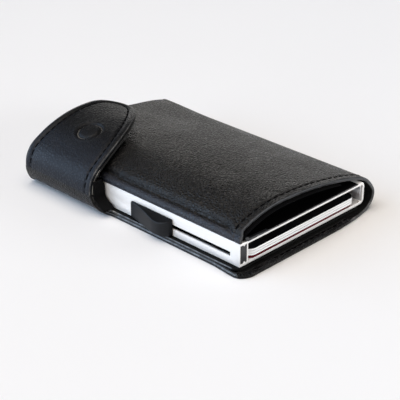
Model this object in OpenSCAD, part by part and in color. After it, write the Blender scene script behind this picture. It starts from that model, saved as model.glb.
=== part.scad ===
// Slim leather wallet folded round an aluminium sliding card case.
// X runs across the width, with the slider on the left and the fold of the cover on the right.
// Y runs along the length, with the mouth of the card case at the near end (-Y).
// Z is up from the face that the wallet lies on. The origin is under the middle of the case.

/* [Cards] */
// Length of a card
card_l = 85.6; // [80:0.1:92]
// Width of a card
card_w = 53.98; // [50:0.01:58]
// Thickness of a card
card_t = 0.76; // [0.6:0.01:0.84]
// Corner radius of a card
card_r = 3.18; // [2:0.01:5]
// Free height between one card and the next
card_gap = 0.14; // [0.12:0.01:0.2]
// Depth of the card edges behind the mouth of the case
card_recess = 0.8; // [0.3:0.1:2]

/* [Card case] */
// Height of the card bay
bay_h = 6.4; // [6:0.1:8]
// Thickness of the top, bottom and right walls
case_wall = 1; // [0.8:0.05:1.2]
// Thickness of the slotted wall on the slider side
slot_wall = 0.7; // [0.6:0.05:1]
// Thickness of the wall between slider channel and card bay
divider_wall = 0.9; // [0.6:0.05:1.2]
// Width of the slider channel
channel_w = 2.3; // [2.1:0.1:3]
// Side play of the cards against the divider wall
card_play = 0.3; // [0.2:0.05:0.6]
// Width of the space for the spring leaf beside the cards
leaf_space = 3.82; // [3:0.02:5]
// Radius of the long edges on the fold side
case_edge_r = 2; // [1.3:0.1:2.4]
// Height of the guide ribs on the floor and roof of the channel
rib_h = 0.6; // [0.4:0.05:0.8]
// Height of the lips that keep the ends of the spring leaf
lip_h = 0.5; // [0.3:0.05:0.8]
// Thickness of the cap in the far end
cap_t = 1.6; // [1:0.1:3]

/* [Slider] */
// Travel of the slider
slide_travel = 26; // [15:0.5:30]
// Height of the slot in the side wall
slot_h = 1.2; // [1:0.05:1.6]
// Height of the middle of the slot above the underside of the case
slot_z = 3.3; // [2.6:0.1:4.6]
// Distance of the slot from the mouth of the case
slot_end = 4.2; // [3:0.1:8]
// Length of the lever
lever_l = 19.5; // [16:0.5:24]
// Height of the lever
lever_h = 5.3; // [4:0.1:6]
// Reach of the lever's nose out of the case
lever_reach = 4.3; // [3:0.1:6]
// Thickness of the lever's thin tail
lever_tail = 1.1; // [0.8:0.1:2]
// Offset from one step of the pusher to the next
push_step = 2.8; // [2:0.1:4]
// Width of the pusher inside the card bay
pusher_w = 13; // [8:0.5:30]
// Thickness of the pusher behind its last step
pusher_back = 1.25; // [1:0.05:3]

/* [Spring leaf] */
// Thickness of the spring leaf
leaf_t = 0.4; // [0.2:0.05:0.5]
// Length of each flat end of the spring leaf
leaf_foot = 7; // [4:0.5:12]

/* [Leather cover] */
// Thickness of the outer leather
cover_t = 1.2; // [0.9:0.05:1.6]
// Thickness of the lining on the back panel
lining_t = 1; // [0.6:0.05:1.4]
// Thickness of the adhesive sheet that holds the case
adhesive_t = 0.15; // [0.1:0.05:0.3]
// Overhang of the back panel on the slider side
side_overhang = 2.1; // [1.5:0.1:3]
// Overhang of the back panel beyond the mouth of the case
near_overhang = 4; // [2:0.1:6]
// Overhang of the cover beyond the mouth of the case at the fold
fold_overhang = 2.1; // [1:0.1:6]
// Length beside the fold over which the cover's near edge slants back
fold_slant = 14; // [8:0.5:24]
// Overhang of the cover beyond the far end of the case
far_overhang = 1.5; // [0.5:0.1:4]
// Distance of the front panel's edge behind the mouth of the case
front_recess = 1; // [0.4:0.1:3]
// Corner radius of the back panel
cover_corner_r = 4; // [2:0.5:8]
// Height of the note pocket's crest above the case
pocket_rise = 6.6; // [6:0.1:9]
// Distance of the crest from the slider side of the case
pocket_crest = 20; // [16:0.5:30]
// Thickness of the pocket panel that lies on the case
pocket_t = 1; // [0.6:0.05:1.4]
// Inner radius of the fold along the left of the note pocket
fold_r = 1.3; // [1:0.1:2]

/* [Closing tab] */
// Width of the tab along the wallet
tab_w = 34.7; // [24:0.1:40]
// Thickness of the tab's outer leather
tab_t = 1.1; // [0.9:0.05:1.4]
// Thickness of the tab's lining
tab_lining_t = 0.9; // [0.6:0.05:1.2]
// Distance from the case to the outside of the tab
tab_stand_off = 7; // [6.4:0.1:9]
// Outer radius of the tab's lower bend
tab_low_r = 7.6; // [6.5:0.1:8]
// Outer radius of the tab's upper bend
tab_top_r = 9; // [6:0.1:11]
// Radius of the flap's arch over the front panel
flap_r = 52; // [46:1:64]
// Distance of the flap's crest from the slider side of the case
flap_crest = 22; // [19:0.5:26]
// Distance of the flap's tip from the slider side of the case
flap_reach = 35.5; // [28:0.5:40]
// Gap between flap and front panel at the flap's crest
flap_gap = 1.85; // [1.6:0.05:3]
// Radius of the curve along the flap's near edge
flap_edge_r = 63; // [58:1:120]
// Radius of the flap's rounded end
flap_corner_r = 10; // [6:0.5:12]
// Flare of the flap's far edge from its bend to its rounded end
flap_flare = 1.5; // [0:0.1:4]
// Length of the straight start of the flap's near edge
flap_start = 3; // [2:0.1:6]

/* [Magnet closure] */
// Distance of the magnet from the slider side of the case
magnet_x = 10.2; // [8:0.1:14]
// Distance of the magnet from the near edge of the tab
magnet_in = 19.2; // [14:0.1:24]
// Radius of the magnet in the flap and of the steel plate under the front panel
magnet_r = 4.7; // [3.5:0.1:6]
// Thickness of the magnet
magnet_t = 0.8; // [0.5:0.1:1.2]
// Thickness of the steel plate
keeper_t = 0.4; // [0.3:0.05:0.6]
// Thickness of the leather patch over the steel plate
patch_t = 0.6; // [0.4:0.05:0.9]
// Width of the patch's rim round the steel plate
patch_rim = 1.8; // [1:0.1:3]

/* [Hidden] */
$fn = 48;

// Named clearances
run_gap = 0.15;      // sliding pieces against the case
press_gap = 0.05;    // pieces that are pushed or glued in place
push_gap = 0.05;     // cards to the faces that push them
end_gap = 0.3;       // slider to the ends of its travel
plug_gap = 0.7;      // channel plug to the slot
cut_over = 1;        // how far a cutting shape runs past what it cuts

// Sizes of the case, built up from the cards and the walls
card_count = 4;
card_pitch = card_t + card_gap;
case_w = slot_wall + channel_w + divider_wall + card_play + card_w + leaf_space + case_wall;
case_t = bay_h + 2 * case_wall;
case_l = card_recess + card_l + push_gap + (card_count - 1) * push_step + pusher_back + end_gap + cap_t;
case_z = cover_t + lining_t + adhesive_t;
case_top = case_z + case_t;
case_left = -case_w / 2;
case_right = case_w / 2;
mouth_y = -case_l / 2;
far_y = case_l / 2;
floor_z = case_z + case_wall;
roof_z = floor_z + bay_h;

channel_left = case_left + slot_wall;
channel_right = channel_left + channel_w;
bay_left = channel_right + divider_wall;
bay_right = case_right - case_wall;
bay_corner_r = 0.5;
rib_x = channel_left + 0.6 * channel_w;

card_left = bay_left + card_play;
card_right = card_left + card_w;
card_near = mouth_y + card_recess;
card_far = card_near + card_l;
function card_z(k) = floor_z + card_gap / 2 + (k - 1) * card_pitch;

// The slider: the stem fills the slot at rest apart from its travel
stem_l = lever_l - 1.5;
stem_h = slot_h - 0.2;
stem_near = mouth_y + slot_end + end_gap + slide_travel;
stem_far = stem_near + stem_l;
stem_depth = 1.2;
lever_near = stem_near - 0.7;
lever_far = lever_near + lever_l;
lever_in = case_left - run_gap;
slot_mid = case_z + slot_z;
carriage_left = channel_left + run_gap;
carriage_right = channel_right - run_gap;
carriage_far = card_far - 8;
tongue_l = 4;
tongue_t = 0.8;
push_near = card_far + push_gap;
push_far = push_near + (card_count - 1) * push_step + pusher_back;
divider_far = push_near - slide_travel - cut_over;

// The spring leaf: two flat feet behind the lips, and a bow that reaches the card edges
lip_w = 0.5;
leaf_wall_gap = 0.35;
leaf_touch = 0.1;
leaf_out = bay_right - leaf_wall_gap;
leaf_in = leaf_out - leaf_t;
leaf_near = mouth_y + 0.4;
leaf_far = card_far - 2;
bow_near = leaf_near + leaf_foot;
bow_far = leaf_far - leaf_foot;
bow_half = (bow_far - bow_near) / 2;
bow_depth = leaf_in - card_right - leaf_touch;
bow_r = (bow_half * bow_half + bow_depth * bow_depth) / (2 * bow_depth);
bow_angle = asin(bow_half / bow_r);

// The cover, as arcs in the cross section. Each arc meets the next on a shared tangent.
cover_near = mouth_y - near_overhang;
fold_near = mouth_y - fold_overhang;
cover_far = far_y + far_overhang;
cover_left = case_left - side_overhang;
front_near = mouth_y + front_recess;
crest = [case_left + pocket_crest, case_top + pocket_rise];
fold_top = [case_left + 2.8, case_top + 3];
fold_drop = crest - fold_top;
left_r = (fold_drop.x * fold_drop.x + fold_drop.y * fold_drop.y) / (2 * fold_drop.y);
left_angle = 2 * atan(fold_drop.y / fold_drop.x);
left_c = crest - [0, left_r];
fold_c = fold_top + fold_r * [sin(left_angle), -cos(left_angle)];
spine_start = [case_right - 1.15, case_top + 0.35];
spine_drop = [spine_start.x - crest.x, crest.y - spine_start.y];
right_r = (spine_drop.x * spine_drop.x + spine_drop.y * spine_drop.y) / (2 * spine_drop.y);
right_angle = 2 * atan(spine_drop.y / spine_drop.x);
right_c = crest - [0, right_r];
spine_r = (spine_start.y - cover_t) / (1 + cos(right_angle));
spine_c = [spine_start.x - spine_r * sin(right_angle), cover_t + spine_r];
pocket_left = fold_c.x - fold_r;
pocket_right = spine_start.x - 3;

// The tab, as arcs in the same cross section, on its outside
tab_all = tab_t + tab_lining_t;
tab_far = far_y;
tab_near = tab_far - tab_w;
tab_out = case_left - tab_stand_off;
low_c = [tab_out + tab_low_r, tab_low_r];
flap_top = [case_left + flap_crest, crest.y + cover_t + flap_gap + tab_all];
flap_c = flap_top - [0, flap_r];
top_c = [tab_out + tab_top_r, flap_c.y + sqrt(pow(flap_r - tab_top_r, 2) - pow(flap_c.x - tab_out - tab_top_r, 2))];
flap_angle = asin((flap_c.x - top_c.x) / (flap_r - tab_top_r));
low_hinge = 225;
top_hinge = 90 + (90 + flap_angle) / 2;
flap_tip = case_left + flap_reach;
tip_angle = asin((flap_tip + cut_over - flap_c.x) / flap_r);

// The magnet stands square on the flap
magnet_y = tab_near + magnet_in;
magnet_angle = asin((flap_c.x - case_left - magnet_x) / flap_r);
magnet_reach = 4 * tab_all;

function arc(c, r, a0, a1, n) = [for (i = [0:n]) let (a = a0 + (a1 - a0) * i / n) c + r * [cos(a), sin(a)]];
function back_order(p) = [for (i = [len(p) - 1:-1:0]) p[i]];

// Cross section of the front panel at a depth d out from its inner face
function front_path(d) = concat(
    [[pocket_left - d, case_top]],
    arc(fold_c, fold_r + d, 180, 90 + left_angle, 6),
    arc(left_c, left_r + d, 90 + left_angle, 90, 8),
    arc(right_c, right_r + d, 90, 90 - right_angle, 12),
    arc(spine_c, spine_r + d, 90 - right_angle, 0, 10)
);

// Cross sections of the tab at a depth d in from its outer face
function root_path(d) = arc(low_c, tab_low_r - d, 270, low_hinge, 6);
function wall_path(d) = concat(
    arc(low_c, tab_low_r - d, low_hinge, 180, 6),
    arc(top_c, tab_top_r - d, 180, top_hinge, 5)
);
function flap_path(d) = concat(
    arc(top_c, tab_top_r - d, top_hinge, 90 + flap_angle, 5),
    arc(flap_c, flap_r - d, 90 + flap_angle, 90 - tip_angle, 14)
);

// Turns a cross section drawn in X and Z into a bar from y0 to y1
module along_y(y0, y1) {
    translate([0, y1, 0]) rotate([90, 0, 0]) linear_extrude(y1 - y0) children();
}

module upright(z0, z1) {
    translate([0, 0, z0]) linear_extrude(z1 - z0) children();
}

module block(low, high) {
    translate(low) cube(high - low);
}

module between(near_path, far_path) {
    polygon(concat(near_path, back_order(far_path)));
}

// Rectangle from low to high with its right corners rounded
module round_right(low, high, r) {
    translate(low) square([high.x - low.x - r, high.y - low.y]);
    translate([high.x - r - 0.01, low.y + r]) square([r + 0.01, high.y - low.y - 2 * r]);
    for (z = [low.y + r, high.y - r]) translate([high.x - r, z]) circle(r);
}

// Triangular guide rib of the channel, at a floor or roof, grown by a clearance
module rib(z, up, grow) {
    h = rib_h + grow;
    polygon([[rib_x - h, z], [rib_x + h, z], [rib_x, z + up * h]]);
}

module ribs(grow) {
    rib(floor_z, 1, grow);
    rib(roof_z, -1, grow);
}

module lips(grow) {
    for (z = [floor_z, roof_z - lip_h - grow])
        translate([leaf_in - run_gap - lip_w - grow, z]) square([lip_w + 2 * grow, lip_h + grow]);
}

module channel_section(inset) {
    translate([channel_left + inset, floor_z + inset]) square([channel_w - 2 * inset, bay_h - 2 * inset]);
}

module card_case() {
    color("gainsboro") difference() {
        along_y(mouth_y, far_y) difference() {
            round_right([case_left, case_z], [case_right, case_top], case_edge_r);
            difference() {
                channel_section(0);
                ribs(0);
            }
            difference() {
                round_right([bay_left, floor_z], [bay_right, roof_z], bay_corner_r);
                lips(0);
            }
        }
        block([case_left - cut_over, stem_near - slide_travel - end_gap, slot_mid - slot_h / 2],
              [channel_left + cut_over / 2, stem_far + end_gap, slot_mid + slot_h / 2]);
        block([channel_right - rib_h / 10, divider_far, floor_z],
              [bay_left + cut_over / 10, far_y + cut_over, roof_z]);
    }
}

module end_cap() {
    color("dimgray") along_y(far_y - cap_t, far_y) difference() {
        round_right([channel_left + press_gap, floor_z + press_gap],
                    [bay_right - press_gap, roof_z - press_gap], bay_corner_r);
        ribs(press_gap);
        lips(press_gap);
    }
}

module channel_plug() {
    color("dimgray") along_y(mouth_y, mouth_y + slot_end - plug_gap) difference() {
        channel_section(press_gap);
        ribs(press_gap);
    }
}

module spring_leaf() {
    bow_mid = (bow_near + bow_far) / 2;
    bow_c = [leaf_in - bow_depth + bow_r, bow_mid];
    foot_h = bay_h - 2 * run_gap;
    bow_h = bay_h - 2 * lip_h - 4 * run_gap;
    color("lightsteelblue") {
        for (y = [leaf_near, bow_far])
            block([leaf_in, y, floor_z + run_gap], [leaf_out, y + leaf_foot, floor_z + run_gap + foot_h]);
        upright(floor_z + bay_h / 2 - bow_h / 2, floor_z + bay_h / 2 + bow_h / 2) between(
            arc(bow_c, bow_r, 180 + bow_angle, 180 - bow_angle, 24),
            arc(bow_c + [leaf_t, 0], bow_r, 180 + bow_angle, 180 - bow_angle, 24)
        );
    }
}

// Wedge with a thin tail, a hollow ramp and a rounded nose for the thumb
module lever_outline() {
    crest_back = 3.3;
    nose_in = 0.7;
    nose_r = 0.9;
    ramp_far = lever_far - 1;
    ramp_l = ramp_far - lever_near - crest_back;
    ramp_rise = lever_reach - lever_tail;
    ramp_r = (ramp_l * ramp_l + ramp_rise * ramp_rise) / (2 * ramp_rise);
    ramp_c = [lever_in - lever_tail - ramp_r, ramp_far];
    nose_c = [lever_in - lever_reach + nose_in + nose_r, lever_near + nose_r];
    polygon(concat(
        [[lever_in, lever_near], [lever_in, lever_far], [lever_in - lever_tail, lever_far]],
        arc(ramp_c, ramp_r, 0, -asin(ramp_l / ramp_r), 10),
        arc(nose_c, nose_r, 192, 270, 6)
    ));
}

module slider_lever() {
    color("#3a3c41") {
        upright(slot_mid - lever_h / 2, slot_mid + lever_h / 2) lever_outline();
        block([lever_in - lever_tail / 2, stem_near, slot_mid - stem_h / 2],
              [carriage_left + stem_depth, stem_far, slot_mid + stem_h / 2]);
    }
}

module carriage_section() {
    difference() {
        channel_section(run_gap);
        ribs(run_gap);
    }
}

module tongue(inset) {
    block([carriage_left + tongue_t / 2 + inset, carriage_far - tongue_l + inset, slot_mid - stem_h + inset],
          [carriage_left + 1.5 * tongue_t - inset, carriage_far + inset, slot_mid + stem_h - inset]);
}

module slider_carriage() {
    color("#4a4c52") difference() {
        along_y(stem_near, carriage_far) carriage_section();
        block([carriage_left - cut_over, stem_near - cut_over, slot_mid - stem_h / 2],
              [carriage_left + stem_depth, stem_far, slot_mid + stem_h / 2]);
        tongue(0);
    }
}

// Stair that meets the lowest card first, with a block that runs in the channel
module card_pusher() {
    step_right = bay_left + pusher_w;
    color("#5a5c62") {
        along_y(carriage_far, push_far) carriage_section();
        tongue(press_gap);
        for (k = [1:card_count])
            block([carriage_right - 2 * press_gap, push_near + (k - 1) * push_step,
                   k == 1 ? floor_z + run_gap / 2 : card_z(k - 1) + card_t + card_gap / 2],
                  [step_right, push_far, card_z(k) + card_t + card_gap / 2]);
    }
}

module card(k, tint) {
    color(tint) upright(card_z(k), card_z(k) + card_t) {
        translate([card_left + card_r, card_near]) square([card_w - 2 * card_r, card_l]);
        translate([card_left, card_near + card_r]) square([card_w, card_l - 2 * card_r]);
        for (x = [card_left + card_r, card_right - card_r], y = [card_near + card_r, card_far - card_r])
            translate([x, y]) circle(card_r);
    }
}

module card_1() { card(1, "#7a2230"); }
module card_2() { card(2, "white"); }
module card_3() { card(3, "white"); }
module card_4() { card(4, "white"); }

// Plate with rounded left corners and a near edge that may slant beside the fold, notched where the tab rises
module cover_plate(left, near, fold_end, far, r) {
    difference() {
        polygon(concat(
            arc([left + r, near + r], r, 180, 270, 10),
            [[spine_c.x - fold_slant, near], [spine_c.x, fold_end], [spine_c.x, far]],
            arc([left + r, far - r], r, 90, 180, 10)
        ));
        translate([left - cut_over, tab_near]) square([low_c.x - left + cut_over, far - tab_near + cut_over]);
    }
}

// Space in front of the near edge of the front panel, which slants back over the fold
module front_edge_cut() {
    slant = atan((front_near - fold_near) / spine_c.y);
    block([case_left - cut_over, cover_near, 0], [spine_c.x + press_gap, front_near, crest.y * 2]);
    translate([spine_c.x, fold_near, spine_c.y]) rotate([-slant, 0, 0])
        translate([0, -case_l, -case_top]) cube([case_w, case_l, 4 * case_top]);
}

module back_panel() {
    color("#26272a") {
        upright(0, cover_t) cover_plate(cover_left, cover_near, fold_near, cover_far, cover_corner_r);
        along_y(fold_near, cover_far) between(
            arc(spine_c, spine_r, 270, 360, 10), arc(spine_c, spine_r + cover_t, 270, 360, 10));
        along_y(tab_near, tab_far) between(root_path(0), root_path(tab_t));
    }
}

module back_lining() {
    edge = 0.4;
    near = mouth_y - 1;
    color("#2f3034") {
        upright(cover_t, cover_t + lining_t)
            intersection() {
                cover_plate(cover_left + edge, near, near, cover_far - edge, cover_corner_r - 2 * edge);
                translate([cover_left, near]) square([spine_c.x - 1 - cover_left, cover_far - near]);
            }
        along_y(tab_near + edge, tab_far - edge) between(root_path(cover_t), root_path(tab_all + cover_t - tab_t));
    }
}

module case_adhesive() {
    inset = 3;
    color("goldenrod") block([case_left + inset, mouth_y + inset, cover_t + lining_t],
                             [spine_c.x - inset, far_y - inset, case_z]);
}

// Cylinder on the magnet's axis, through all the layers of flap and front panel
module magnet_round(r) {
    translate([flap_c.x, magnet_y, flap_c.y]) rotate([0, -magnet_angle, 0])
        translate([0, 0, flap_r - 2 * magnet_reach]) cylinder(r = r, h = 3 * magnet_reach);
}

// Sheet that follows the left arch of the note pocket, between two depths from its inner face
module arch_layer(d0, d1) {
    along_y(tab_near, cover_far) between(
        arc(left_c, left_r - d0, 90 + left_angle, 90, 8), arc(left_c, left_r - d1, 90 + left_angle, 90, 8));
}

module front_panel() {
    color("#26272a") difference() {
        along_y(fold_near, cover_far) between(front_path(0), front_path(cover_t));
        front_edge_cut();
    }
}

module pocket_panel() {
    color("#1d1e20") block([pocket_left, front_near - front_recess / 2, case_top],
                           [pocket_right, cover_far - front_recess, case_top + pocket_t]);
}

module tab_wall() {
    color("#2a2b2f") along_y(tab_near, tab_far) between(wall_path(0), wall_path(tab_t));
}

module tab_wall_lining() {
    color("#3a3a3c") along_y(tab_near, tab_far) between(wall_path(tab_t), wall_path(tab_all));
}

// Outline of the flap from above: a long curve on the near side and a rounded far corner
module flap_outline() {
    corner_c = [flap_tip - flap_corner_r, tab_far + flap_flare - flap_corner_r];
    near_start = [tab_out + flap_start, tab_near + flap_start / 8];
    span = corner_c - near_start;
    along = (pow(flap_edge_r, 2) - pow(flap_edge_r - flap_corner_r, 2) + span * span) / (2 * norm(span));
    aside = sqrt(pow(flap_edge_r, 2) - pow(along, 2));
    near_c = near_start + (along * span + aside * [-span.y, span.x]) / norm(span);
    start_angle = atan2(near_start.y - near_c.y, near_start.x - near_c.x);
    meet_angle = atan2(corner_c.y - near_c.y, corner_c.x - near_c.x);
    polygon(concat(
        [[tab_out - cut_over, tab_near]],
        arc(near_c, flap_edge_r, start_angle, meet_angle, 12),
        arc(corner_c, flap_corner_r, meet_angle, 90, 16),
        [[tab_out - cut_over, tab_far]]
    ));
}

module flap_layer(d0, d1) {
    intersection() {
        along_y(tab_near - cut_over, tab_far + flap_flare + cut_over) between(flap_path(d0), flap_path(d1));
        upright(0, 2 * flap_top.y) flap_outline();
    }
}

module tab_flap() {
    color("#2a2b2f") difference() {
        flap_layer(0, tab_t);
        flap_magnet();
    }
}

module tab_flap_lining() {
    color("#3a3a3c") difference() {
        flap_layer(tab_t, tab_all);
        flap_magnet();
    }
}

module flap_magnet() {
    color("#9a9ca2") intersection() {
        along_y(tab_near, tab_far) between(flap_path(tab_t - magnet_t / 2), flap_path(tab_t + magnet_t / 2));
        magnet_round(magnet_r);
    }
}

module keeper_plate() {
    color("silver") intersection() {
        arch_layer(0, keeper_t);
        magnet_round(magnet_r);
    }
}

module keeper_patch() {
    color("#2f3034") difference() {
        intersection() {
            arch_layer(0, keeper_t + patch_t);
            magnet_round(magnet_r + patch_rim);
        }
        intersection() {
            arch_layer(-cut_over, keeper_t);
            magnet_round(magnet_r);
        }
    }
}

card_case();
end_cap();
channel_plug();
spring_leaf();
slider_lever();
slider_carriage();
card_pusher();
card_1();
card_2();
card_3();
card_4();
back_panel();
back_lining();
case_adhesive();
front_panel();
pocket_panel();
tab_wall();
tab_wall_lining();
tab_flap();
tab_flap_lining();
flap_magnet();
keeper_plate();
keeper_patch();
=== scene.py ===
import bpy
import math
import numpy as np
from mathutils import Matrix, Vector, noise


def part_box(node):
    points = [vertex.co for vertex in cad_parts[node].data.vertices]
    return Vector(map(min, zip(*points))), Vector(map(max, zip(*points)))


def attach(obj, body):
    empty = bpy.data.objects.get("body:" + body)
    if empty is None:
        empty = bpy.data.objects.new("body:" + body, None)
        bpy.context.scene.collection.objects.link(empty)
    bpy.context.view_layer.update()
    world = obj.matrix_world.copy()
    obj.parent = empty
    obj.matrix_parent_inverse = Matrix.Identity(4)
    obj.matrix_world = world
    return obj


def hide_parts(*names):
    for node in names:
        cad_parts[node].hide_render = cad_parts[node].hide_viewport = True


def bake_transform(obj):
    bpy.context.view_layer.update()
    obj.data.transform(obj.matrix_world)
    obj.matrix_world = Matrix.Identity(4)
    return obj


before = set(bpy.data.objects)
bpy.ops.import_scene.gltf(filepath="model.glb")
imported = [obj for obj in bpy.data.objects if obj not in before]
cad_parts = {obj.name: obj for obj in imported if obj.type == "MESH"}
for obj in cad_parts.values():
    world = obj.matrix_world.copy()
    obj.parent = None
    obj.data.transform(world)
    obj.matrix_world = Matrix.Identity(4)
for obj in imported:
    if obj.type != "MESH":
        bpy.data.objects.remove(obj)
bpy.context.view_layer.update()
mm = 0.001
print("frame loaded:", len(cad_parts), "nodes")


# helpers for selecting and finishing pieces

def calm():
    if bpy.context.object and bpy.context.object.mode != "OBJECT":
        bpy.ops.object.mode_set(mode="OBJECT")
    bpy.ops.object.select_all(action="DESELECT")


def pick(piece):
    calm()
    piece.select_set(True)
    bpy.context.view_layer.objects.active = piece


def newMesh(operator, name, **settings):
    # a primitive under its own name
    calm()
    operator(**settings)
    bpy.context.object.name = name
    return bpy.context.object


def addModifier(piece, kind, **settings):
    pick(piece)
    mod = piece.modifiers.new(kind.lower(), kind)
    for key, value in settings.items():
        setattr(mod, key, value)
    bpy.ops.object.modifier_apply(modifier=mod.name)


def smooth(piece, degrees=40):
    pick(piece)
    bpy.ops.object.shade_smooth_by_angle(angle=math.radians(degrees))


def inEdit(piece, *steps):
    # operators that act, one after another, on the whole mesh
    pick(piece)
    bpy.ops.object.mode_set(mode="EDIT")
    bpy.ops.mesh.select_all(action="SELECT")
    for operator, settings in steps:
        operator(**settings)
    bpy.ops.object.mode_set(mode="OBJECT")


def dress(piece, *finishes):
    for finish in finishes:
        piece.data.materials.append(finish)


def paint(piece, index, where):
    # the faces that fit take another of the piece's finishes
    for face in piece.data.polygons:
        if where(face):
            face.material_index = index


def getPoints(piece):
    flat = np.empty(len(piece.data.vertices) * 3)
    piece.data.vertices.foreach_get("co", flat)
    return flat.reshape(-1, 3)


def setPoints(piece, points):
    piece.data.vertices.foreach_set("co", points.ravel())
    piece.data.update()


def axes(first, second, third, spot):
    # the matrix that turns X, Y and Z to three directions and moves to a spot
    return Matrix([(*row, at) for row, at in zip(zip(first, second, third), spot)] + [(0, 0, 0, 1)])


def ease(t):
    t = np.clip(t, 0, 1)
    return t * t * (3 - 2 * t)


def ramp(x, span):
    # eases from 0 to 1, given where it starts and over what length
    return ease((x - span[0]) / span[1])


def bell(x, centre, width):
    return np.exp(-((x - centre) / width) ** 2)


def place(points):
    return np.asarray(points, float) * mm


def runOf(points):
    # distance along a line of points
    return np.concatenate([[0], np.cumsum(np.linalg.norm(np.diff(points, axis=0), axis=1))])


# materials: values on their way through the nodes, with ordinary arithmetic

class Flow:
    def __init__(self, finish, socket):
        self.finish = finish
        self.socket = socket

    def calc(self, operation, first, second):
        return self.finish.node("ShaderNodeMath", {"operation": operation}, {0: first, 1: second})

    def __add__(self, other):
        return self.calc("ADD", self, other)

    def __sub__(self, other):
        return self.calc("SUBTRACT", self, other)

    def __rsub__(self, other):
        return self.calc("SUBTRACT", other, self)

    def __mul__(self, other):
        return self.calc("MULTIPLY", self, other)

    __radd__ = __add__
    __rmul__ = __mul__


class Finish:
    def __init__(self, name):
        self.material = bpy.data.materials.new(name)
        self.material.use_nodes = True
        self.tree = self.material.node_tree
        self.shader = self.tree.nodes["Principled BSDF"]
        self.at = self.node("ShaderNodeTexCoord", {}, {}, "Object")

    def node(self, kind, settings, sockets, out=0):
        made = self.tree.nodes.new(kind)
        for key, value in settings.items():
            setattr(made, key, value)
        for key, value in sockets.items():
            self.feed(made.inputs[key], value)
        return Flow(self, made.outputs[out])

    def feed(self, target, value):
        if isinstance(value, Flow):
            self.tree.links.new(value.socket, target)
        else:
            target.default_value = value

    def vector(self, operation, sockets, out=0):
        return self.node("ShaderNodeVectorMath", {"operation": operation}, sockets, out)

    def stretch(self, *scale):
        return self.node("ShaderNodeMapping", {}, {"Vector": self.at, "Scale": scale})

    def cloud(self, vector, scale, detail=3.0, rough=0.55, out=0):
        return self.node("ShaderNodeTexNoise", {},
                         {"Vector": vector, "Scale": scale, "Detail": detail, "Roughness": rough}, out)

    def cells(self, vector, scale):
        return self.node("ShaderNodeTexVoronoi", {"feature": "DISTANCE_TO_EDGE"}, {"Vector": vector, "Scale": scale})

    def bands(self, direction, scale, bend):
        return self.node("ShaderNodeTexWave", {"wave_type": "BANDS", "bands_direction": direction},
                         {"Vector": self.at, "Scale": scale, "Distortion": bend, "Detail": 1.0})

    def fit(self, value, low, high, first=0.0, last=1.0):
        return self.node("ShaderNodeMapRange", {"interpolation_type": "SMOOTHSTEP"},
                         {"Value": value, "From Min": low, "From Max": high, "To Min": first, "To Max": last})

    def blendColour(self, factor, first, second):
        return self.node("ShaderNodeMix", {"data_type": "RGBA"}, {0: factor, 6: (*first, 1), 7: (*second, 1)}, 2)

    def bump(self, height, strength, distance):
        return self.node("ShaderNodeBump", {}, {"Strength": strength, "Distance": distance, "Height": height})

    def surface(self, **sockets):
        for key, value in sockets.items():
            self.feed(self.shader.inputs[key.replace("_", " ")], value)
        return self.material

    def coat(self, mix, dark, light, rough, gloss, height, *bump, **more):
        # two mixed colours, roughness and gloss, then the height, strength and distance of the bump
        return self.surface(Base_Color=self.blendColour(mix, dark, light), Roughness=rough, Specular_IOR_Level=gloss,
                            Normal=self.bump(height, *bump), **more)


leatherLook = {
    "dark": (0.0022, 0.0022, 0.0026),
    "light": (0.0062, 0.006, 0.0061),
    "cell": 900,           # pebbles per metre
    "roughHigh": 0.46,
    "bump": 0.85,
    "depth": 0.0003,
}
tabMark = {"centre": (-21.6, 33.0), "radius": 4.4, "width": 0.8, "deep": 0.85, "groove": 0.55, "dome": 0.3,
           "rim": (1.25, 0.6, 0.16)}    # raised rim: how far outside the groove, its width and height


def leather(name, tone=1.0, bumpScale=1.0, gloss=0.27, tint=(1, 1, 1), mark=None, shade=None):
    f = Finish(name)
    drift = f.cloud(f.at, 420, 2.0, out=1)
    shift = f.vector("MULTIPLY_ADD", {0: drift, 1: (0.0006, 0.0006, 0.0006), 2: f.at})
    pebble = f.fit(f.cells(shift, leatherLook["cell"]), 0.0, 0.32)
    crease = f.fit(f.cells(shift, leatherLook["cell"] * 0.36), 0.0, 0.10)
    pore = f.cloud(f.at, 5200, 3.0)
    worn = f.fit(f.cloud(f.at, 60, 3.0), 0.35, 0.7)
    height = pebble * 0.62 + crease * 0.3 + pore * 0.02
    dark, light = [[c * tone * k for c, k in zip(leatherLook[key], tint)] for key in ("dark", "light")]
    grain = pebble * (0.35 + 0.5 * worn)
    rough = leatherLook["roughHigh"] - pebble * 0.16 - worn * 0.08 + pore * 0.06
    if mark:
        # the pressed groove of the mark is duller, and painted darker as shade in the groove
        radius, width = mark["radius"] * mm, mark["width"] * mm
        off = f.vector("SUBTRACT", {0: f.at, 1: place((*mark["centre"], 0))})
        off = f.vector("MULTIPLY", {0: off, 1: (1.04, 1, 0)})
        away = f.vector("LENGTH", {0: off}, "Value")
        pressed = f.fit(away, radius - width, radius) - f.fit(away, radius, radius + width)
        grain = grain * (1 - pressed)
        rough = rough + pressed * 0.45
    colour = f.blendColour(grain, dark, light)
    if shade:
        # painted shade: the hide is painted darker past the bend, where less light falls on it: from X, to X, and its
        # share of the tone there
        across = f.node("ShaderNodeSeparateXYZ", {}, {0: f.at}, "X")
        keep = f.fit(across, shade[0] * mm, shade[1] * mm, 1.0, shade[2])
        colour = f.vector("SCALE", {0: colour, "Scale": keep})
    return f.surface(Base_Color=colour, Roughness=rough, Specular_IOR_Level=gloss,
                     Normal=f.bump(height, leatherLook["bump"] * bumpScale, leatherLook["depth"]))


edgeLook = {"scale": 420, "grit": 0.65, "stretch": 1, "span": (0.38, 0.66), "rough": (0.4, 0.2), "gloss": 0.5,
            "bump": (0.3, 0.0001)}


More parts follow.
